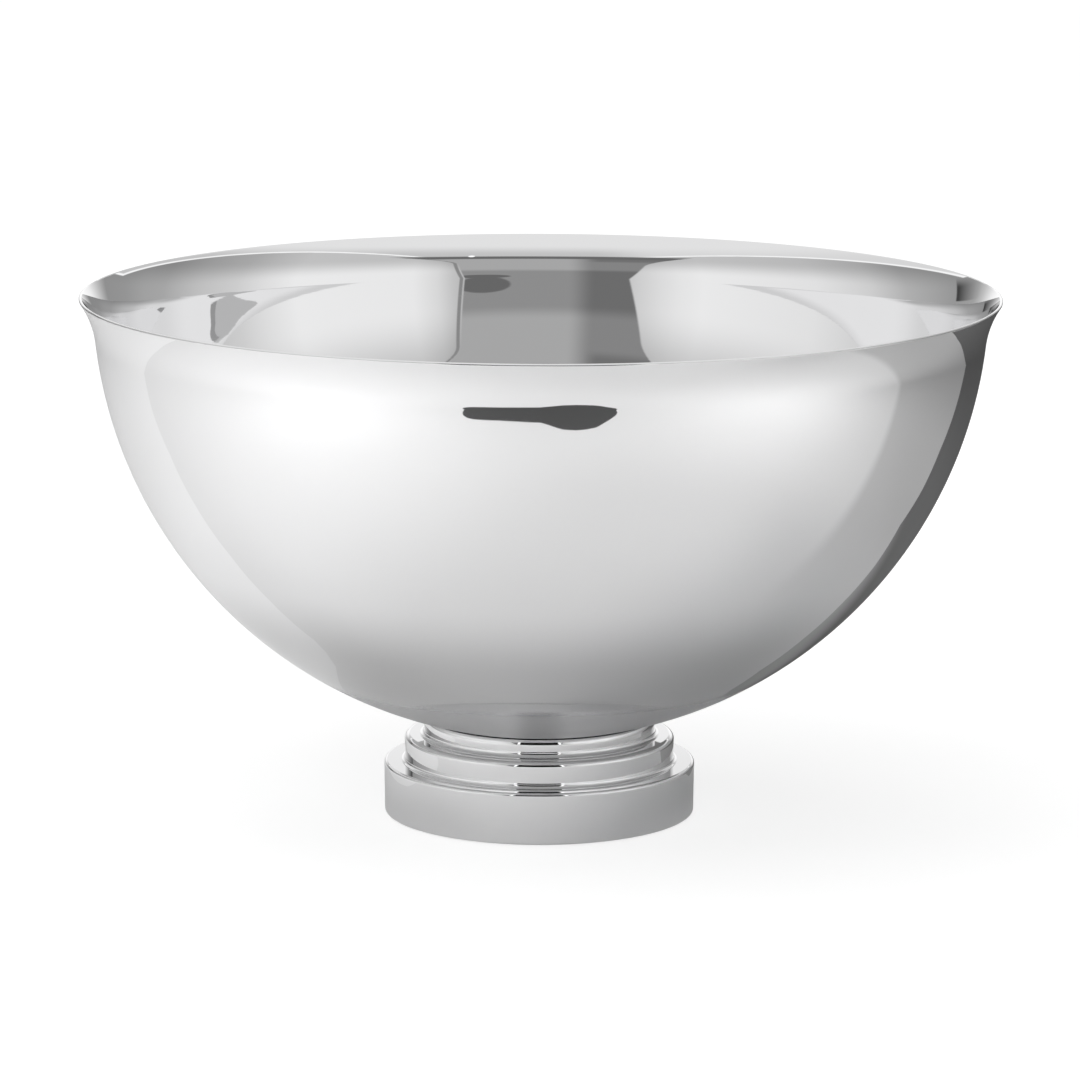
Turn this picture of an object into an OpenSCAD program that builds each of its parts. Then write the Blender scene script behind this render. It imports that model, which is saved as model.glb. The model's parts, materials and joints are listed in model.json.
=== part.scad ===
// Footed punch bowl: a spun half-round bowl with a flared lip on a foot of
// three stepped rings. All sizes are in millimetres, +Z is up and z = 0 is the
// surface that the foot stands on. The bowl's axis is the Z axis.

/* [Bowl] */
// Diameter over the rim
rim_d = 400; // [380:1:420]
// Thickness of the bowl's sheet
sheet_t = 1.4; // [1.2:0.1:1.8]
// Radius of the outward curve of the lip
flare_r = 42; // [36:1:50]
// Slope of the lip at the rim, in degrees away from vertical
lip_angle = 33.6; // [31:0.2:36]
// Slope of the round body where the lip begins, in degrees away from vertical
flare_start = 6.1; // [5:0.1:8]

/* [Foot rings] */
// Diameter of the base ring
base_d = 136.6; // [134:0.2:144]
// Height of the base ring's deck above the table
base_h = 23.2; // [21:0.1:25]
// Diameter of the middle ring
middle_d = 118.6; // [116:0.2:121]
// Height of the middle ring
middle_h = 11.7; // [10:0.1:12.5]
// Diameter of the top ring, which cradles the bowl
top_d = 101.8; // [99:0.2:104]
// Height of the top ring's wall, up to where its shoulder begins to round
top_wall_h = 5.1; // [4.6:0.1:5.6]
// Thickness of the top ring under the bowl's lowest point
cradle_t = 1.7; // [1.3:0.1:2.5]
// Thickness of the base and middle rings' decks and skirts
ring_t = 2.0; // [1.6:0.1:2.4]
// Rounding of the base ring's upper edge
base_edge_r = 1.4; // [0.8:0.1:2]
// Rounding of the middle ring's upper edge
middle_edge_r = 2.4; // [1:0.1:3]
// Rounding of the top ring's shoulder
top_edge_r = 5.0; // [3:0.1:6]
// Hollow fillet where the middle ring stands on the base ring
middle_cove_r = 1.7; // [0.8:0.1:2.4]
// Hollow fillet where the top ring stands on the middle ring
top_cove_r = 2.0; // [0.8:0.1:2.6]
// How much narrower a ring is at its lower end, in radius
ring_draft = 0.2; // [0:0.1:0.4]

/* [Fastening] */
// Width of the gap between the bowl and its cradle, filled by the seal
seal_t = 0.6; // [0.4:0.1:0.8]
// Radius of the boss under the bowl
boss_r = 14.9; // [12:0.1:18]
// Nominal diameter of the centre stud
stud_d = 8; // [6, 8]
// Radius of the clamp plate
clamp_r = 30; // [24:1:36]
// Thickness of the clamp plate
clamp_t = 3; // [2:0.5:3.5]

/* [Underside] */
// Thickness of the soft pad that the foot stands on
pad_t = 1.6; // [1.2:0.1:2.4]
// How far the base ring's edge stays above the table
rest_gap = 0.5; // [0.3:0.1:0.8]
// Thickness of the plate that closes the foot
plate_t = 1.0; // [0.8:0.1:1.5]

/* [Hidden] */
$fn = 180;

// ---- bowl profile: a sphere that turns into a hollow flare at the lip ----
bowl_bottom = base_h + middle_h + cradle_t;                  // underside of the bowl at its axis
edge_x = rim_d / 2 - sheet_t / 2;                            // the rim's round edge, from the axis
flare_x = edge_x + (sheet_t / 2 + flare_r) * cos(lip_angle); // centre of the flare's curve
bowl_r = flare_x / cos(flare_start) - flare_r;               // outer radius of the round body
bowl_z = bowl_bottom + bowl_r;                               // height of its centre
flare_c = [flare_x, bowl_z - (bowl_r + flare_r) * sin(flare_start)];
edge_c = [edge_x, flare_c[1] + (sheet_t / 2 + flare_r) * sin(lip_angle)];
seat_r = bowl_r + seal_t;                                    // radius of the cradle in the top ring
function under_bowl(r, rad) = bowl_z - sqrt(rad * rad - r * r);

// ---- heights in the foot ----
middle_top = base_h + middle_h;
shoulder_z = middle_top + top_wall_h;                        // centre height of the top ring's shoulder curve
base_in = base_d / 2 - ring_t - 1.3;                         // inside of the base ring above the ledge
ledge_z = pad_t + plate_t;                                   // underside of the ledge
base_under = base_h - ring_t;                                // underside of the base deck
middle_under = middle_top - ring_t;
bore_r = boss_r + 0.1;                                       // holes that the boss passes through
stud_r = stud_d / 2;
stud_hole_r = stud_r + 0.5;
thread_gap = 0.05;
clamp_under = base_under - clamp_t;
washer_t = 0.2 * stud_d;
spring_t = 0.25 * stud_d;
nut_h = 0.8 * stud_d;
washer_z = clamp_under - washer_t;
spring_z = washer_z - spring_t;
nut_z = spring_z - nut_h;
stud_top = middle_under + 2.4;

// Points along an arc about c, from the angle a0 to a1, in n steps
function arc(c, r, a0, a1, n) =
    [for (i = [0:n]) let (a = a0 + (a1 - a0) * i / n) c + r * [cos(a), sin(a)]];

// Lean of a ring's skirt, and the curves that end it
function lean(h) = atan(ring_draft / h);
function top_edge(ro, er, z1, h) = arc([ro - er, z1 - er], er, 90, -lean(h), 8);
function foot_cove(ro, cr, z0, h) =
    arc([ro - ring_draft + cr, z0 + 0.1 + cr], cr, 180 - lean(h), 270, 8);

// Closed sheet: round body, hollow flare and round rim outside, then back down inside
module bowl_shell() {
    t = sheet_t;
    color("silver") rotate_extrude() polygon(concat(
        arc([0, bowl_z], bowl_r, -90, -flare_start, 42),
        arc(flare_c, flare_r, 180 - flare_start, 180 - lip_angle, 12),
        arc(edge_c, t / 2, -lip_angle, 180 - lip_angle, 10),
        arc(flare_c, flare_r + t, 180 - lip_angle, 180 - flare_start, 12),
        arc([0, bowl_z], bowl_r - t, -flare_start, -90, 42)));
}

// Solid ring with a round shoulder, dished on top to the bowl's curve, hollow-filleted at its foot
module foot_top_ring() {
    ro = top_d / 2;
    shoulder_top = shoulder_z + top_edge_r;
    color("silver") rotate_extrude() difference() {
        polygon(concat([[bore_r, middle_top], [bore_r, shoulder_top]],
            arc([ro - top_edge_r, shoulder_z], top_edge_r, 90, -lean(top_wall_h), 18),
            foot_cove(ro, top_cove_r, middle_top, top_wall_h),
            [[ro - ring_draft + top_cove_r, middle_top]]));
        translate([0, bowl_z]) circle(r = seat_r, $fn = 360);
    }
}

// Pressed cap: a flat deck, a skirt and a hollow fillet at the skirt's foot
module foot_middle_ring() {
    ro = middle_d / 2;
    color("silver") rotate_extrude() polygon(concat(
        [[bore_r, middle_top]],
        top_edge(ro, middle_edge_r, middle_top, middle_h),
        foot_cove(ro, middle_cove_r, base_h, middle_h),
        [[ro - ring_draft + middle_cove_r, base_h], [ro - ring_draft - ring_t, base_h]],
        arc([ro - ring_t - 2, middle_under - 2], 2, 0, 90, 6),
        [[bore_r, middle_under]]));
}

// Pressed cap with a ledge inside its lower end for the closing plate
module foot_base_ring() {
    ro = base_d / 2;
    color("silver") rotate_extrude() polygon(concat(
        [[stud_hole_r, base_h]],
        top_edge(ro, base_edge_r, base_h, base_h),
        arc([ro - ring_draft - 1, rest_gap + 1], 1, -lean(base_h), -90, 6),
        [[base_in + 1.2, rest_gap], [base_in + 1.2, ledge_z], [base_in, ledge_z]],
        arc([base_in - 2, base_under - 2], 2, 0, 90, 6),
        [[stud_hole_r, base_under]]));
}

// Thin soft ring that fills the gap between the bowl and its cradle
module seal_ring() {
    color("dimgray") rotate_extrude() intersection() {
        translate([0, bowl_z]) difference() {
            circle(r = seat_r, $fn = 360);
            circle(r = bowl_r, $fn = 360);
        }
        translate([28, 0]) square([top_d / 2 - 2.8 - 28, bowl_z - 20]);
    }
}

// Boss under the bowl's lowest point, bored for the stud
module bowl_boss() {
    color("gainsboro") rotate_extrude() difference() {
        translate([0, middle_under]) square([boss_r, 12]);
        translate([0, bowl_z]) circle(r = bowl_r, $fn = 360);
        translate([-1, middle_under - 1]) square([stud_r + thread_gap + 1, stud_top - middle_under + 1]);
    }
}

module centre_stud() {
    tip = 0.8;
    z0 = max(nut_z - 2.5, ledge_z + 0.5);
    color("lightgray") rotate_extrude() polygon([[0, stud_top], [stud_r, stud_top],
        [stud_r, z0 + tip], [stud_r - tip, z0], [0, z0]]);
}

module tube(r0, r1, z0, h) {
    translate([0, 0, z0]) difference() {
        cylinder(r = r1, h = h);
        translate([0, 0, -1]) cylinder(r = r0, h = h + 2);
    }
}

module spacer_tube() {
    color("darkgray") tube(stud_hole_r, boss_r - 2.9, base_h, middle_h - ring_t);
}

module clamp_plate() {
    color("darkgray") tube(stud_hole_r, clamp_r, clamp_under, clamp_t);
}

module flat_washer() {
    color("lightgray") tube(stud_r + 0.2, 1.5 * stud_d, washer_z, washer_t);
}

// Lock washer, cut through at a slant
module spring_washer() {
    color("lightgray") difference() {
        tube(stud_r + 0.15, 0.92 * stud_d, spring_z, spring_t);
        translate([stud_r + 2, 0, spring_z + spring_t / 2]) rotate([35, 0, 0])
            cube([8, 0.8, 3 * spring_t], center = true);
    }
}

// Six-sided nut, its corners turned away at both ends
module hex_nut() {
    across = 1.625 * stud_d;
    corner = across / cos(30) / 2;
    color("lightgray") difference() {
        intersection() {
            translate([0, 0, nut_z]) cylinder(r = corner, h = nut_h, $fn = 6);
            rotate_extrude() polygon([[0, nut_z], [across / 2 * 0.97, nut_z],
                [corner + 0.1, nut_z + 0.7], [corner + 0.1, nut_z + nut_h - 0.7],
                [across / 2 * 0.97, nut_z + nut_h], [0, nut_z + nut_h]]);
        }
        translate([0, 0, nut_z - 1]) cylinder(r = stud_r + thread_gap, h = nut_h + 2);
    }
}

module bottom_plate() {
    color("gray") translate([0, 0, pad_t]) cylinder(r = base_in + 1.1, h = plate_t);
}

// Soft disc under the plate, its lower edge eased
module base_pad() {
    r = base_in + 0.9;
    color("#2b2b2b") rotate_extrude() polygon([[0, 0], [r - 0.4, 0], [r, 0.4], [r, pad_t], [0, pad_t]]);
}

bowl_shell();
foot_top_ring();
foot_middle_ring();
foot_base_ring();
seal_ring();
bowl_boss();
centre_stud();
spacer_tube();
clamp_plate();
flat_washer();
spring_washer();
hex_nut();
bottom_plate();
base_pad();
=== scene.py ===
import json
import math

import bmesh
import bpy
import numpy as np
from mathutils import Matrix, Vector


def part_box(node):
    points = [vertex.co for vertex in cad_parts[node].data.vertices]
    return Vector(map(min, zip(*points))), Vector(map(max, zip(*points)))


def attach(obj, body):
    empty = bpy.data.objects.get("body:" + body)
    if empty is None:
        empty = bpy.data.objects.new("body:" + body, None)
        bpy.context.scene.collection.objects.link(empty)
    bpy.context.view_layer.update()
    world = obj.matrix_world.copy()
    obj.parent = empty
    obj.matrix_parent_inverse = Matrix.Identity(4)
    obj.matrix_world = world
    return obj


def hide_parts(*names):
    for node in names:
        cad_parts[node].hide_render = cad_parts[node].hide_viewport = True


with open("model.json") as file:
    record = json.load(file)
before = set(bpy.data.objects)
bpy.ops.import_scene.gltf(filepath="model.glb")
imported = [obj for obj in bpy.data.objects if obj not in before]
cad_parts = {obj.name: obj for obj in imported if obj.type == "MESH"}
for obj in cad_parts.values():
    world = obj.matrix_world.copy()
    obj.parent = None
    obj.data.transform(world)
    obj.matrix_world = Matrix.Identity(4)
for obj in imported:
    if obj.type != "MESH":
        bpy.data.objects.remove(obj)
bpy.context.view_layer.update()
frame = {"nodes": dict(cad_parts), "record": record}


scene = bpy.context.scene
MM = 0.001

# ------------------------------------------------------------------ camera
cam_data = bpy.data.cameras.new("camera")
cam_data.lens = 177.73
cam_data.sensor_width = 36.0
cam_data.clip_start = 0.05
cam_data.clip_end = 200.0
cam = bpy.data.objects.new("camera", cam_data)
scene.collection.objects.link(cam)
cam.matrix_world = (
    Matrix.Translation((0.0, -2.2943, 0.5560))
    @ Matrix.Rotation(math.radians(79.265), 4, "X")
    @ Matrix.Rotation(math.radians(0.194), 4, "Z")
)
scene.camera = cam
scene.view_settings.view_transform = "Standard"

# ------------------------------------------------- the design's dimensions
# The same sizes as the CAD source, in millimetres.
rim_d, sheet_t = 400.0, 1.4
flare_r, lip_angle, flare_start = 42.0, 33.6, 6.1
base_d, base_h, middle_d, middle_h, top_d = 136.6, 23.2, 118.6, 11.7, 101.8
top_wall_h, cradle_t, ring_t, draft = 5.1, 1.7, 2.0, 0.2
base_edge_r, middle_edge_r, top_edge_r = 1.4, 2.4, 5.0
middle_cove_r, top_cove_r = 1.7, 2.0
seal_t, boss_r, stud_r = 0.6, 14.9, 4.0
pad_t, rest_gap, plate_t = 1.6, 0.5, 1.0


def polar(c, r, a):
    a = math.radians(a)
    return (c[0] + r * math.cos(a), c[1] + r * math.sin(a))


edge_x = rim_d / 2 - sheet_t / 2
flare_x = edge_x + (sheet_t / 2 + flare_r) * math.cos(math.radians(lip_angle))
bowl_r = flare_x / math.cos(math.radians(flare_start)) - flare_r
bowl_z = base_h + middle_h + cradle_t + bowl_r
flare_c = (flare_x, bowl_z - (bowl_r + flare_r) * math.sin(math.radians(flare_start)))
edge_c = polar(flare_c, sheet_t / 2 + flare_r, 180 - lip_angle)
seat_r = bowl_r + seal_t
middle_top = base_h + middle_h
shoulder_z = middle_top + top_wall_h
middle_under = middle_top - ring_t
base_under = base_h - ring_t
base_in = base_d / 2 - ring_t - 1.3
ledge_z = pad_t + plate_t
bore_r = boss_r + 0.1
stud_hole_r = stud_r + 0.5


# ------------------------------------------------------- lathe mesh builder
# A profile is a list of runs. Each run is a list of (r, z, nr, nz): points in
# millimetres with the surface normal that belongs to them in that run.
def arc_run(c, r, a0, a1, n, side):
    sign = side * (1 if a1 > a0 else -1)
    out = []
    for i in range(n + 1):
        a = math.radians(a0 + (a1 - a0) * i / n)
        out.append((c[0] + r * math.cos(a), c[1] + r * math.sin(a),
                    sign * math.cos(a), sign * math.sin(a)))
    return out


def line_run(p, q, side, n=1):
    dr, dz = q[0] - p[0], q[1] - p[1]
    k = side / math.hypot(dr, dz)
    return [(p[0] + dr * i / n, p[1] + dz * i / n, dz * k, -dr * k) for i in range(n + 1)]


def lathe(name, runs, segments, closed, radial=1.0):
    """Turns the runs about Z. side=+1 runs go counter-clockwise in the (r, z) plane."""
    points, quads = [], []          # profile points, and (i, j, normal i, normal j)
    for run in runs:
        for k, (r, z, nr, nz) in enumerate(run):
            if points and math.hypot(points[-1][0] - r, points[-1][1] - z) < 1e-5:
                index = len(points) - 1
            elif closed and points and math.hypot(points[0][0] - r, points[0][1] - z) < 1e-5:
                index = 0
            else:
                points.append((r, z))
                index = len(points) - 1
            if k:
                quads.append((before[0], index, before[1], (nr, nz)))
            before = (index, (nr, nz))
    bm = bmesh.new()
    rings = []
    for r, z in points:
        if r < 1e-6:
            rings.append([bm.verts.new((0.0, 0.0, z * MM))])
        else:
            rings.append([bm.verts.new((r * radial * MM * math.cos(2 * math.pi * j / segments),
                                        r * radial * MM * math.sin(2 * math.pi * j / segments),
                                        z * MM)) for j in range(segments)])
    area = 0.0
    for a, b, _, _ in quads:
        area += points[a][0] * points[b][1] - points[b][0] * points[a][1]
    flip = area < 0                  # clockwise profile
    normals = []
    for a, b, na, nb in quads:
        ra, rb = rings[a], rings[b]
        for j in range(segments):
            k = (j + 1) % segments
            corners_ = []
            if len(ra) == 1:
                corners_ = [(ra[0], na, j), (rb[k], nb, k), (rb[j], nb, j)]
            elif len(rb) == 1:
                corners_ = [(ra[j], na, j), (ra[k], na, k), (rb[0], nb, j)]
            else:
                corners_ = [(ra[j], na, j), (ra[k], na, k), (rb[k], nb, k), (rb[j], nb, j)]
            if flip:
                corners_.reverse()
            bm.faces.new([c[0] for c in corners_]).smooth = True
            for _, n, m in corners_:
                t = 2 * math.pi * m / segments
                normals.append((n[0] * math.cos(t), n[0] * math.sin(t), n[1]))
    mesh = bpy.data.meshes.new(name)
    bm.to_mesh(mesh)
    bm.free()
    mesh.normals_split_custom_set(normals)
    obj = bpy.data.objects.new(name, mesh)
    scene.collection.objects.link(obj)
    return obj


def lean(h):
    return math.degrees(math.atan(draft / h))


def half_width(node):
    lo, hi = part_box(node)
    return min(hi.x, hi.y, -lo.x, -lo.y)


# ------------------------------------------------------------ the new pieces
# bowl: round body, hollow flare and round rim outside, then back down inside
bowl_runs = [
    arc_run((0, bowl_z), bowl_r, -90, -flare_start, 96, 1),
    arc_run(flare_c, flare_r, 180 - flare_start, 180 - lip_angle, 30, 1),
    arc_run(edge_c, sheet_t / 2, -lip_angle, 180 - lip_angle, 20, 1),
    arc_run(flare_c, flare_r + sheet_t, 180 - lip_angle, 180 - flare_start, 30, 1),
    arc_run((0, bowl_z), bowl_r - sheet_t, -flare_start, -90, 96, 1),
]
bowl = lathe("polished_bowl_shell", bowl_runs, 400, False,
             (half_width("bowl_shell") - 1e-6) / (rim_d / 2 * MM))


rim_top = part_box("bowl_shell")[1].z - 1e-6
for v in bowl.data.vertices:
    v.co.z = min(v.co.z, rim_top)


# Rings: their profiles run clockwise, as the CAD's do
def top_edge(ro, er, z1, h, n=20):
    return arc_run((ro - er, z1 - er), er, 90, -lean(h), n, -1)


def foot_cove(ro, cr, z0, h, n=20):
    return arc_run((ro - draft + cr, z0 + 0.1 + cr), cr, 180 - lean(h), 270, n, -1)


def joined(runs, closing=True):
    """Adds the straight pieces between the runs."""
    out = []
    for i, run in enumerate(runs):
        if i:
            p, q = out[-1][-1], run[0]
            if math.hypot(p[0] - q[0], p[1] - q[1]) > 1e-5:
                out.append(line_run(p[:2], q[:2], -1, 2))
        out.append(run)
    if closing:
        p, q = out[-1][-1], out[0][0]
        if math.hypot(p[0] - q[0], p[1] - q[1]) > 1e-5:
            out.append(line_run(p[:2], q[:2], -1, 2))
    return out


def point(r, z):
    return [(r, z, 0.0, 0.0)]


# top ring: dished on top to the bowl's curve. The dish meets the rounded
# outer edge where the cradle's sphere crosses it.
ro = top_d / 2
h = top_wall_h
ec = (ro - top_edge_r, shoulder_z)
lo_a, hi_a = -lean(h), 90.0
for _ in range(60):
    mid = (lo_a + hi_a) / 2
    p = polar(ec, top_edge_r, mid)
    if math.hypot(p[0], p[1] - bowl_z) > seat_r:
        lo_a = mid
    else:
        hi_a = mid
meet = polar(ec, top_edge_r, lo_a)
a_meet = math.degrees(math.atan2(meet[1] - bowl_z, meet[0]))
a_bore = -math.degrees(math.acos(bore_r / seat_r))
top_runs = joined([
    arc_run((0, bowl_z), seat_r, a_bore, a_meet, 24, -1),
    arc_run(ec, top_edge_r, lo_a, -lean(h), 30, -1),
    foot_cove(ro, top_cove_r, middle_top, h),
    point(ro - draft + top_cove_r, middle_top),
    point(bore_r, middle_top),
])
top_ring = lathe("polished_top_ring", top_runs, 320, True, 0.99998)

ro = middle_d / 2
middle_runs = joined([
    top_edge(ro, middle_edge_r, middle_top, middle_h),
    foot_cove(ro, middle_cove_r, base_h, middle_h),
    point(ro - draft + middle_cove_r, base_h),
    point(ro - draft - ring_t, base_h),
    arc_run((ro - ring_t - 2, middle_under - 2), 2, 0, 90, 8, -1),
    point(bore_r, middle_under),
    point(bore_r, middle_top),
])
middle_ring = lathe("polished_middle_ring", middle_runs, 320, True, 0.99998)

ro = base_d / 2
base_runs = joined([
    top_edge(ro, base_edge_r, base_h, base_h),
    arc_run((ro - draft - 1, rest_gap + 1), 1, -lean(base_h), -90, 12, -1),
    point(base_in + 1.2, rest_gap),
    point(base_in + 1.2, ledge_z),
    point(base_in, ledge_z),
    arc_run((base_in - 2, base_under - 2), 2, 0, 90, 8, -1),
    point(stud_hole_r, base_under),
    point(stud_hole_r, base_h),
])
base_ring = lathe("polished_base_ring", base_runs, 320, True, 0.99998)

# soft pad: eased lower edge and a shallow groove round its underside
pr = base_in + 0.9
pad_runs = [
    line_run((0, 0), (pr - 7, 0), 1, 8),
    arc_run((pr - 6, 0.0), 1.0, 180, 90, 6, 1) + arc_run((pr - 6, 0.0), 1.0, 90, 0, 6, 1)[1:],
    line_run((pr - 5, 0), (pr - 0.5, 0), 1, 3),
    arc_run((pr - 0.5, 0.5), 0.5, -90, 0, 8, 1),
    line_run((pr, 0.5), (pr, pad_t), 1, 2),
    line_run((pr, pad_t), (0, pad_t), 1, 8),
]
pad = lathe("soft_base_pad", pad_runs, 256, False, 0.9998)

for piece, node, slot in (
    (bowl, "bowl_shell", "polished_bowl"),
    (top_ring, "foot_top_ring", "polished_foot"),
    (middle_ring, "foot_middle_ring", "polished_foot"),
    (base_ring, "foot_base_ring", "polished_foot"),
    (pad, "base_pad", "pad_rubber"),
):
    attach(piece, "root")
    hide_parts(node)


# ---------------------------------------------------------------- materials
class Nodes:
    """A short way to write node trees."""

    def __init__(self, tree):
        self.tree = tree
        tree.nodes.clear()

    def add(self, kind, values=None, **props):
        n = self.tree.nodes.new("ShaderNode" + kind)
        for k, v in props.items():
            setattr(n, k, v)
        for k, v in (values or {}).items():
            self.put(v, n.inputs[k])
        return n

    def put(self, v, socket):
        if isinstance(v, bpy.types.NodeSocket):
            self.tree.links.new(v, socket)
        elif isinstance(v, bpy.types.Node):
            self.tree.links.new(v.outputs[0], socket)
        else:
            socket.default_value = v

    def math(self, op, a, b=None, c=None, clamp=False):
        n = self.tree.nodes.new("ShaderNodeMath")
        n.operation = op
        n.use_clamp = clamp
        for i, v in enumerate((a, b, c)):
            if v is not None:
                self.put(v, n.inputs[i])
        return n.outputs[0]

    def remap(self, v, a, b, c, d, smooth=False):
        n = self.tree.nodes.new("ShaderNodeMapRange")
        n.interpolation_type = "SMOOTHSTEP" if smooth else "LINEAR"
        n.clamp = True
        for i, x in enumerate((v, a, b, c, d)):
            self.put(x, n.inputs[i])
        return n.outputs[0]

    def mix(self, fac, a, b):
        """Linear mix of two numbers."""
        n = self.tree.nodes.new("ShaderNodeMix")
        n.data_type = "FLOAT"
        self.put(fac, n.inputs[0])
        self.put(a, n.inputs[2])
        self.put(b, n.inputs[3])
        return n.outputs[0]


def turned_coordinates(n):
    """Radius and height of a point, so that a pattern follows the turning lines."""
    xyz = n.add("SeparateXYZ", {0: n.add("TexCoord").outputs["Object"]})
    r = n.math("SQRT", n.math("ADD", n.math("MULTIPLY", xyz.outputs[0], xyz.outputs[0]),
                              n.math("MULTIPLY", xyz.outputs[1], xyz.outputs[1])))
    return r, xyz.outputs[2], n.add("TexCoord").outputs["Object"]


def mirror_steel(name, tint, rough, line_depth, smudge, low_soft_polish_and_painted_shade=False):
    """Polished steel: faint turning lines, hairline marks and soft wiping marks.

    With the last argument set, the bowl's outside gets a softer polish low down (more roughness) and a painted shade:
    its colour darkens towards the bottom, standing in for the shade beneath the bowl.
    """
    m = bpy.data.materials.new(name)
    m.use_nodes = True
    n = Nodes(m.node_tree)
    r, z, place = turned_coordinates(n)
    rz = n.add("CombineXYZ", {0: r, 1: z})
    lines = n.add("TexNoise", {"Vector": rz.outputs[0], "Scale": 900.0, "Detail": 2.0, "Roughness": 0.6})
    wipes = n.add("TexNoise", {"Vector": place, "Scale": 9.0, "Detail": 4.0, "Roughness": 0.55})
    # hairlines run round the piece: noise that is long in the direction of turning
    angle = n.math("ARCTAN2", n.add("SeparateXYZ", {0: place}).outputs[1],
                   n.add("SeparateXYZ", {0: place}).outputs[0])
    hair = n.add("TexNoise", {"Vector": n.add("CombineXYZ", {
        0: n.math("MULTIPLY", r, 2600.0), 1: n.math("MULTIPLY", z, 2600.0),
        2: n.math("MULTIPLY", angle, 5.0)}).outputs[0], "Scale": 1.0, "Detail": 1.0})
    hair_mask = n.remap(hair.outputs[0], 0.66, 0.74, 0.0, 1.0)
    wipe_mask = n.remap(wipes.outputs[0], 0.42, 0.68, 0.0, 1.0, True)
    roughness = n.math("ADD", n.math("MULTIPLY_ADD", wipe_mask, smudge, rough),
                       n.math("MULTIPLY", hair_mask, 0.02))
    tone = n.remap(wipes.outputs[0], 0.3, 0.7, 1.0, 0.985)
    if low_soft_polish_and_painted_shade:
        up = n.math("SUBTRACT", z, bowl_z * MM)
        out = n.math("SQRT", n.math("ADD", n.math("MULTIPLY", r, r), n.math("MULTIPLY", up, up)))
        outside = n.math("GREATER_THAN", out, (bowl_r - sheet_t / 2) * MM)
        # painted shade: the colour is darkened by up to a quarter low on the bowl's outside
        painted_shade_low = n.math("MULTIPLY", outside, n.remap(z, 0.122, 0.088, 0.0, 1.0, True))
        soft = n.math("MULTIPLY", outside, n.remap(z, 0.072, 0.058, 0.0, 1.0, True))
        tone = n.math("MULTIPLY", tone, n.math("MULTIPLY_ADD", painted_shade_low, -0.25, 1.0))
        roughness = n.math("MULTIPLY_ADD", soft, 0.42, roughness)
    colour = n.add("CombineColor", {0: n.math("MULTIPLY", tone, tint[0]),
                                    1: n.math("MULTIPLY", tone, tint[1]),
                                    2: n.math("MULTIPLY", tone, tint[2])})
    bump = n.add("Bump", {"Strength": line_depth, "Distance": 0.00002, "Height": lines.outputs[0]})
    b = n.add("BsdfPrincipled", {"Base Color": colour.outputs[0], "Metallic": 1.0,
                                 "Roughness": roughness, "Normal": bump.outputs[0]})
    n.add("OutputMaterial", {0: b.outputs[0]})
    return m


def turned_steel(name, tint, rough, scale, depth, mottle):
    """Plain machined or plated steel with turning grooves."""
    m = bpy.data.materials.new(name)
    m.use_nodes = True
    n = Nodes(m.node_tree)
    r, z, place = turned_coordinates(n)
    rz = n.add("CombineXYZ", {0: r, 1: z})
    grooves = n.add("TexNoise", {"Vector": rz.outputs[0], "Scale": scale, "Detail": 3.0, "Roughness": 0.65})
    spots = n.add("TexNoise", {"Vector": place, "Scale": 160.0, "Detail": 5.0, "Roughness": 0.6})
    roughness = n.math("ADD", n.math("MULTIPLY", grooves.outputs[0], 0.18),
                       n.math("MULTIPLY_ADD", spots.outputs[0], 0.14, rough))
    tone = n.math("MULTIPLY_ADD", spots.outputs[0], -mottle, 1.0 + mottle * 0.5)
    colour = n.add("CombineColor", {0: n.math("MULTIPLY", tone, tint[0]),
                                    1: n.math("MULTIPLY", tone, tint[1]),
                                    2: n.math("MULTIPLY", tone, tint[2])})
    bump = n.add("Bump", {"Strength": depth, "Distance": 0.0001, "Height": grooves.outputs[0]})
    b = n.add("BsdfPrincipled", {"Base Color": colour.outputs[0], "Metallic": 1.0,
                                 "Roughness": roughness, "Normal": bump.outputs[0]})
    n.add("OutputMaterial", {0: b.outputs[0]})
    return m


def rubber(name, tint, rough, grain, depth):
    m = bpy.data.materials.new(name)
    m.use_nodes = True
    n = Nodes(m.node_tree)
    place = n.add("TexCoord").outputs["Object"]
    fine = n.add("TexNoise", {"Vector": place, "Scale": grain, "Detail": 4.0, "Roughness": 0.6})
    cells = n.add("TexVoronoi", {"Vector": place, "Scale": grain * 0.8})
    dust = n.add("TexNoise", {"Vector": place, "Scale": 45.0, "Detail": 5.0, "Roughness": 0.7})
    dusty = n.remap(dust.outputs[0], 0.5, 0.75, 0.0, 1.0, True)
    tone = n.math("MULTIPLY_ADD", dusty, 0.9, n.math("MULTIPLY_ADD", fine.outputs[0], 0.5, 0.75))
    colour = n.add("CombineColor", {0: n.math("MULTIPLY", tone, tint[0]),
                                    1: n.math("MULTIPLY", tone, tint[1]),
                                    2: n.math("MULTIPLY", tone, tint[2])})
    roughness = n.math("MULTIPLY_ADD", fine.outputs[0], 0.16, rough)
    bump = n.add("Bump", {"Strength": depth, "Distance": 0.0002,
                          "Height": n.math("ADD", fine.outputs[0], n.math("MULTIPLY", cells.outputs[0], 0.6))})
    b = n.add("BsdfPrincipled", {"Base Color": colour.outputs[0], "Metallic": 0.0,
                                 "Roughness": roughness, "Normal": bump.outputs[0]})
    n.add("OutputMaterial", {0: b.outputs[0]})
    return m


# the True adds the softer polish and the painted shade low on the bowl's outside
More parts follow.
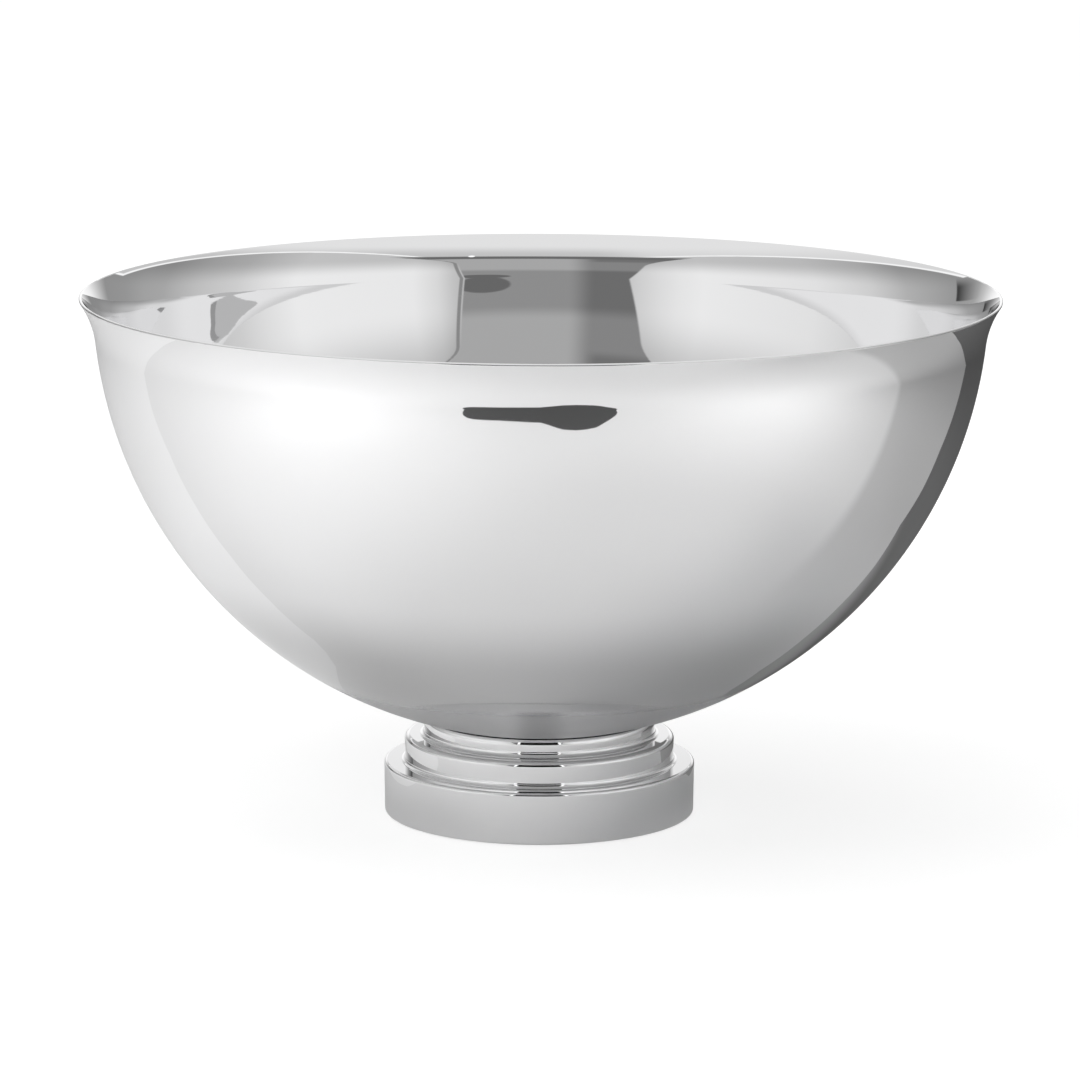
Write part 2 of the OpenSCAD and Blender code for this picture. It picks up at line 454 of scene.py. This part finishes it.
bowl_mat = mirror_steel("polished_bowl", (0.90, 0.90, 0.905), 0.018, 0.05, 0.012, True)
foot_mat = mirror_steel("polished_foot", (0.90, 0.90, 0.905), 0.018, 0.05, 0.012)
turned_mat = turned_steel("turned_steel", (0.56, 0.56, 0.57), 0.22, 1400.0, 0.25, 0.10)
zinc_mat = turned_steel("zinc_steel", (0.64, 0.655, 0.68), 0.20, 700.0, 0.12, 0.16)
seal_mat = rubber("seal_rubber", (0.06, 0.06, 0.065), 0.52, 1500.0, 0.12)
pad_mat = rubber("pad_rubber", (0.035, 0.035, 0.038), 0.66, 900.0, 0.35)
by_slot = {"polished_bowl": bowl_mat, "polished_foot": foot_mat, "turned_steel": turned_mat,
           "zinc_steel": zinc_mat, "seal_rubber": seal_mat, "pad_rubber": pad_mat}

bowl.data.materials.append(bowl_mat)
for ring in (top_ring, middle_ring, base_ring):
    ring.data.materials.append(foot_mat)
pad.data.materials.append(pad_mat)

for part in frame["record"]["subparts"]:
    node = frame["nodes"][part["node"]]
    if not node.material_slots:
        node.data.materials.append(by_slot[part["material_slot"]])
    for s in node.material_slots:
        s.material = by_slot[part["material_slot"]]


# -------------------------------------------------------------------- stage
def card(name, outline, z, strength=None, albedo=0.8, seen=False, mirrored=True):
    """A flat card or floor, from an outline in millimetres."""
    bm = bmesh.new()
    bm.faces.new([bm.verts.new((x * MM, y * MM, z)) for x, y in outline])
    mesh = bpy.data.meshes.new(name)
    bm.to_mesh(mesh)
    bm.free()
    if mesh.polygons[0].normal.z < 0:
        mesh.flip_normals()
    obj = bpy.data.objects.new(name, mesh)
    scene.collection.objects.link(obj)
    m = bpy.data.materials.new(name)
    m.use_nodes = True
    n = Nodes(m.node_tree)
    diffuse = n.add("BsdfDiffuse", {"Color": (albedo, albedo, albedo, 1.0)})
    if strength is None:
        n.add("OutputMaterial", {0: diffuse.outputs[0]})
    else:
        light = n.add("Emission", {"Strength": strength})
        both = n.add("AddShader", {0: diffuse.outputs[0], 1: light.outputs[0]})
        n.add("OutputMaterial", {0: both.outputs[0]})
    mesh.materials.append(m)
    obj.visible_camera = seen
    obj.visible_glossy = mirrored
    return obj


def disc(radius, n=96):
    return [(radius * math.cos(2 * math.pi * i / n), radius * math.sin(2 * math.pi * i / n)) for i in range(n)]


# The floor that the camera sees is pale with a soft shade under the foot: partly real shadow from the lamps on its
# faint diffuse part, partly painted shade, as its glow weakens towards the foot. The one in the mirror finish is a
# second floor under the studio lights, with a painted shade band on its colour behind on the right.
floor = card("floor", disc(60000), -0.0002, 0.76, 0.25, True, False)
n = Nodes(floor.data.materials[0].node_tree)
spot = n.add("SeparateXYZ", {0: n.add("TexCoord").outputs["Object"]})
away = n.math("SQRT", n.math("ADD", n.math("MULTIPLY", spot.outputs[0], spot.outputs[0]),
                             n.math("MULTIPLY", spot.outputs[1], spot.outputs[1])))
# painted shade: the floor's glow is weaker near the foot, darkening the floor round it
light = n.add("Emission", {"Strength": n.remap(away, 0.09, 0.60, 0.80, 1.02, True)})
pale = n.add("BsdfDiffuse", {"Color": (0.25, 0.25, 0.25, 1.0)})
n.add("OutputMaterial", {0: n.add("AddShader", {0: pale.outputs[0], 1: light.outputs[0]}).outputs[0]})
floor.visible_shadow = False
floor.visible_diffuse = False
table = card("table", disc(12000), -0.0004, None, 0.8, False, True)
n = Nodes(table.data.materials[0].node_tree)
spot = n.add("SeparateXYZ", {0: n.add("TexCoord").outputs["Object"]})
# painted shade: the table's colour is darker in a band behind and to the right of the bowl, standing in for a shadow
behind = n.math("ADD", n.math("MULTIPLY_ADD", spot.outputs[0], -0.264, 0.1453), spot.outputs[1])
shade = n.math("MULTIPLY", n.remap(behind, -0.012, 0.022, 0, 1, True), n.remap(spot.outputs[0], 0.13, 0.36, 0, 1, True))
level = n.math("MULTIPLY_ADD", shade, -0.19, 0.8)
n.add("OutputMaterial", {0: n.add("BsdfDiffuse", {"Color": n.add("CombineColor", {0: level, 1: level, 2: level}).outputs[0]}).outputs[0]})
dark_right = card("flag_right", [(106, 49), (130, 41), (169, 57), (208, 81), (260, 119), (321, 151), (381, 224),
                                 (468, 316), (577, 464), (734, 674), (1100, 1180), (1100, 2600), (120, 2600),
                                 (60, 700), (60, 230), (84, 90)],
                  0.0006, None, 0.13)
n = Nodes(dark_right.data.materials[0].node_tree)
spot = n.add("SeparateXYZ", {0: n.add("TexCoord").outputs["Object"]})
level = n.remap(spot.outputs[1], 0.05, 0.19, 0.52, 0.19, True)
n.add("OutputMaterial", {0: n.add("BsdfDiffuse", {"Color": n.add("CombineColor", {0: level, 1: level, 2: level}).outputs[0]}).outputs[0]})
# bounce_left is pale and also glows faintly: painted light on the area behind on the left that the mirror finish shows
light_left = card("bounce_left", [(-124, -6), (-136, -22), (-149, -27), (-201, -15), (-266, 8), (-355, 53),
                                  (-475, 120), (-634, 232), (-830, 352), (-1500, 760),
                                  (-1500, 2600), (-60, 2600), (-60, 230), (-100, 110), (-118, 20)],
                  0.0006, 0.06, 0.84)
flag_front = card("flag_front", [(-206, -712), (-210, -694), (-208, -674), (-200, -654), (-186, -641), (-165, -635),
                                 (-138, -638), (-100, -643), (-50, -643), (0, -640), (28, -617), (50, -597), (80, -588),
                                 (103, -590), (128, -596), (143, -608), (158, -622), (180, -642), (196, -658),
                                 (206, -676), (210, -700), (202, -722), (180, -740), (100, -748), (-170, -748),
                                 (-192, -738), (-202, -725)], 0.0006, None, 0.09)
for o in (dark_right, light_left, flag_front):
    o.visible_shadow = False
    o.visible_diffuse = False


def panel(name, outline, albedo, strength=None, second_only=False):
    """A card in space that only the mirror finish sees; outline in metres.

    second_only: only light that the bowl has mirrored twice meets the card.
    """
    mesh = bpy.data.meshes.new(name)
    mesh.from_pydata([Vector(p) for p in outline], [], [tuple(range(len(outline)))])
    obj = bpy.data.objects.new(name, mesh)
    scene.collection.objects.link(obj)
    m = bpy.data.materials.new(name)
    m.use_nodes = True
    n = Nodes(m.node_tree)
    if strength is None:
        shader = n.add("BsdfDiffuse", {"Color": (albedo, albedo, albedo, 1.0)})
    else:
        shader = n.add("Emission", {"Strength": strength})
    if second_only:
        twice = n.math("GREATER_THAN", n.add("LightPath").outputs["Glossy Depth"], 1.5)
        shader = n.add("MixShader", {0: twice, 1: n.add("BsdfTransparent").outputs[0], 2: shader.outputs[0]})
    n.add("OutputMaterial", {0: shader.outputs[0]})
    mesh.materials.append(m)
    obj.visible_camera = False
    obj.visible_diffuse = False
    obj.visible_shadow = False
    return obj


# a black card low in front for the foot to mirror; the bowl mirrors it too when seen from low down
panel("flag_low", [(-0.090, -0.300, 0.225), (0.090, -0.300, 0.225), (0.190, -0.590, 0.058), (-0.190, -0.590, 0.058)], 0.015)
# bright strips beside it, which make the small white glints on the foot
for side in (-1, 1):
    panel("strip_low", [(side * x, y, z) for x, y, z in ((0.093, -0.300, 0.225), (0.106, -0.300, 0.225),
                                                         (0.221, -0.590, 0.058), (0.194, -0.590, 0.058))], 0.8, 1.3)
# a grey card up at the right of the opening, mirrored at the left inside the bowl
panel("card_high", [(x, -0.210, z) for x, z in (
    (0.140, 0.298), (0.128, 0.380), (0.126, 0.450), (0.138, 0.480), (0.160, 0.500), (0.195, 0.522), (0.240, 0.552),
    (0.290, 0.600), (0.345, 0.640), (0.365, 0.620), (0.345, 0.575), (0.318, 0.515), (0.290, 0.465), (0.262, 0.425),
    (0.243, 0.385), (0.212, 0.298))], 0.5, 0.56, True)
panel("card_edge", [(x, -0.2095, z) for x, z in (
    (0.188, 0.298), (0.226, 0.388), (0.246, 0.432), (0.274, 0.474), (0.300, 0.522), (0.326, 0.580), (0.345, 0.575),
    (0.318, 0.515), (0.290, 0.465), (0.262, 0.425), (0.243, 0.385), (0.212, 0.298))], 0.5, 0.36, True)


def softbox(name, at, aim, wide, high, power, spread=180.0):
    data = bpy.data.lights.new(name, "AREA")
    data.shape = "RECTANGLE"
    data.size, data.size_y = wide, high
    data.energy = power
    data.spread = math.radians(spread)
    obj = bpy.data.objects.new(name, data)
    scene.collection.objects.link(obj)
    obj.location = at
    obj.rotation_euler = (Vector(aim) - Vector(at)).to_track_quat("-Z", "Y").to_euler()
    obj.visible_camera = False
    obj.visible_glossy = False
    return obj


softbox("overhead", (0, -0.1, 1.9), (0, 0, 0), 1.8, 1.8, 11.882)
softbox("side_left", (-1.6, 0.1, 1.0), (-0.5, 0, 0), 0.8, 0.8, 5.252, 120)
softbox("near_left", (-0.9, -0.2, 1.2), (-0.5, -0.1, 0), 0.5, 0.9, 2.282)
softbox("back", (-0.5, 1.2, 1.6), (-0.4, 0.3, 0), 1.0, 0.6, 6.888)
softbox("pool_left", (-0.7, -0.8, 1.0), (-0.5, -0.38, 0), 0.3, 0.3, 0.921, 60)
softbox("pool_right", (0.8, -0.8, 1.0), (0.62, -0.38, 0), 0.3, 0.3, 0.517, 60)
softbox("front_right", (0.95, -0.7, 0.9), (0.55, -0.32, 0), 0.5, 0.5, 1.558, 90)
softbox("front_low", (0, -0.75, 0.35), (0, -0.45, 0), 0.9, 0.2, 0.95)
softbox("near_right", (0.30, -0.30, 0.16), (0.10, -0.10, 0), 0.08, 0.08, 0.012, 60)
softbox("back_left", (-0.9, 1.3, 1.2), (-0.5, 0.7, 0), 0.8, 0.8, 0.474, 120)

# The studio around the bowl: pale walls and ceiling with a grey opening
# towards the camera, which only the mirror finish sees.
world = bpy.data.worlds.new("studio")
scene.world = world
world.use_nodes = True
n = Nodes(world.node_tree)
GLOSS = 0.90                     # what the mirror finish gives back


def tone(v):
    """Light that the mirror finish shows as the screen grey v."""
    v /= 255.0
    return (v / 12.92 if v <= 0.04045 else ((v + 0.055) / 1.055) ** 2.4) / GLOSS


way = n.add("SeparateXYZ", {0: n.add("TexCoord").outputs["Generated"]})
x, y, z = way.outputs
DEG = 180.0 / math.pi
phi = n.math("MULTIPLY", n.math("ARCTAN2", x, n.math("MULTIPLY", y, -1.0)), DEG)   # 0 towards the camera, + to the right
el = n.math("MULTIPLY", n.math("ARCSINE", z), DEG)
# the walls' tone all the way round, from behind the bowl by the left, the camera and the right
RING = [(-180, 250), (-170, 250), (-165, 235), (-157, 185), (-152, 158), (-139, 150), (-115, 175), (-100,
        205), (-80, 225), (-45, 234), (-38, 228), (-33, 220), (-27, 207), (-23, 196), (23, 190), (28, 215), (35, 232),
        (70, 235), (80, 222), (90, 205), (105, 190), (120, 165), (130, 160), (140, 148), (152, 143), (158, 195), (164,
        235), (172, 250), (180, 250)]
around = n.add("ValToRGB", {0: n.math("MULTIPLY_ADD", phi, 1.0 / 360.0, 0.5)})
ramp = around.color_ramp
ramp.interpolation = "LINEAR"
while len(ramp.elements) > 2:
    ramp.elements.remove(ramp.elements[-1])
PEAK = 1.25
for i, (at, grey) in enumerate(RING):
    stop = ramp.elements[i] if i < 2 else ramp.elements.new(1.0)
    stop.position = at / 360.0 + 0.5
    v = tone(grey) / PEAK
    stop.color = (v, v, v, 1.0)
walls = n.math("MULTIPLY", around.outputs["Color"], n.remap(el, 11.0, 29.0, PEAK, PEAK * 0.64, True))
# a dark doorway low behind on the left, lighter towards the back
door = n.math("MULTIPLY", n.math("MULTIPLY", n.remap(phi, -139.8, -140.8, 0, 1, True), n.remap(phi, -156.0, -150.0, 0, 1, True)),
              n.math("MULTIPLY", n.remap(el, 5.2, 6.0, 0, 1, True), n.remap(el, 18.0, 12.0, 0, 1, True)))
walls = n.mix(door, walls, n.mix(n.remap(phi, -141.5, -152.0, 0, 1), tone(64), tone(150)))
# the ceiling begins above a line that arches over either side
right_side = n.math("GREATER_THAN", phi, 0.0)
off_r = n.math("SUBTRACT", phi, 75.0)
off_l = n.math("ADD", phi, 68.0)
arch_r = n.math("MULTIPLY_ADD", n.math("MULTIPLY", off_r, off_r), -0.0047, 38.0)
arch_l = n.math("MULTIPLY_ADD", n.math("MULTIPLY", off_l, off_l), -0.0031, 35.0)
arch = n.math("MAXIMUM", n.mix(right_side, arch_l, arch_r), 17.0)
over = n.math("SUBTRACT", el, arch)                  # above the line
walls = n.mix(n.remap(over, -6.0, -1.0, 0, 1, True), walls, n.math("MINIMUM", walls, tone(192)))
ceiling = n.mix(n.remap(el, 33.0, 45.0, 0, 1, True), n.mix(n.remap(phi, -35.0, -15.0, 0, 1, True), tone(214), tone(194)), tone(225))
room = n.mix(n.remap(over, -0.7, 0.5, 0, 1, True), walls, ceiling)
line = n.math("MULTIPLY", n.remap(over, -0.5, 0.1, 0, 1, True), n.remap(over, 1.2, 0.5, 0, 1, True))
room = n.mix(line, room, tone(248))
# the opening: a lower and a lighter upper part, darker towards the left
# its sides spread towards the top in round corners
high_l = n.math("MAXIMUM", n.math("SUBTRACT", el, 20.0), 0.0)
high_r = n.math("MAXIMUM", n.math("SUBTRACT", el, 22.0), 0.0)
edge_l = n.math("MULTIPLY_ADD", n.math("MULTIPLY", high_l, high_l), -0.10, n.math("MULTIPLY_ADD", el, -0.30, -22.8))
edge_r = n.math("MULTIPLY_ADD", n.math("MULTIPLY", high_r, high_r), 0.25, n.math("MULTIPLY_ADD", el, 0.14, 20.0))
in_l = n.math("SUBTRACT", phi, edge_l)      # positive inside the opening
in_r = n.math("SUBTRACT", edge_r, phi)
inside = n.math("MULTIPLY", n.remap(in_l, -0.4, 0.4, 0, 1, True), n.remap(in_r, -0.25, 0.25, 0, 1, True))
to_left = n.remap(phi, -7.0, -15.0, 0, 1, True)
lower = n.mix(to_left, tone(141), tone(108))
upper = n.mix(to_left, tone(166), tone(132))
upper = n.mix(n.math("MULTIPLY", n.remap(phi, -12.0, -17.0, 0, 1, True), n.remap(el, 23.0, 26.0, 0, 1, True)), upper, tone(112))
grey = n.mix(n.remap(el, 11.5, 15.5, 0, 1, True), lower, upper)
lens = n.math("ADD", n.math("POWER", n.math("MULTIPLY", n.math("SUBTRACT", phi, 15.5), 1 / 7.5), 2.0),
              n.math("POWER", n.math("MULTIPLY", n.math("SUBTRACT", el, 6.0), 1 / 2.2), 2.0))
grey = n.mix(n.remap(lens, 1.1, 0.8, 0, 1, True), grey, tone(102))
bar = n.math("MULTIPLY", n.remap(el, 27.2, 28.2, 0, 1, True), n.remap(el, 31.2, 30.2, 0, 1, True))
grey = n.mix(bar, grey, tone(103))
opening = n.math("MULTIPLY", inside, n.remap(el, 30.4, 31.6, 1, 0, True))
room = n.mix(opening, room, grey)
# the thin dark post at its right edge, and a small lamp above the bar
post = n.math("MULTIPLY", n.math("MULTIPLY", n.remap(in_r, -1.6, -1.2, 0, 1, True), n.remap(in_r, -0.2, -0.6, 0, 1, True)),
              n.remap(el, 31.0, 29.0, 0, 1, True))
room = n.mix(post, room, tone(135))
lamp = n.math("ADD", n.math("POWER", n.math("SUBTRACT", phi, 20.0), 2.0), n.math("POWER", n.math("SUBTRACT", el, 31.0), 2.0))
room = n.mix(n.remap(lamp, 1.4, 0.5, 0, 1, True), room, 1.2)
# light that has met the bowl more than once sees the room without its opening
path = n.add("LightPath")
again = n.math("GREATER_THAN", path.outputs["Glossy Depth"], 1.5)
plain = n.mix(n.math("MULTIPLY", n.remap(n.math("ABSOLUTE", phi), 62.0, 34.0, 0, 1, True), n.remap(el, 52.0, 38.0, 0, 1, True)),
              n.math("MULTIPLY", room, 0.90), tone(237))
room = n.mix(again, room, plain)
strength = n.mix(path.outputs["Is Glossy Ray"], 0.02, room)
strength = n.mix(path.outputs["Is Camera Ray"], strength, 1.0)
bg = n.add("Background", {"Color": (1, 1, 1, 1), "Strength": strength})
n.add("OutputWorld", {0: bg.outputs[0]})
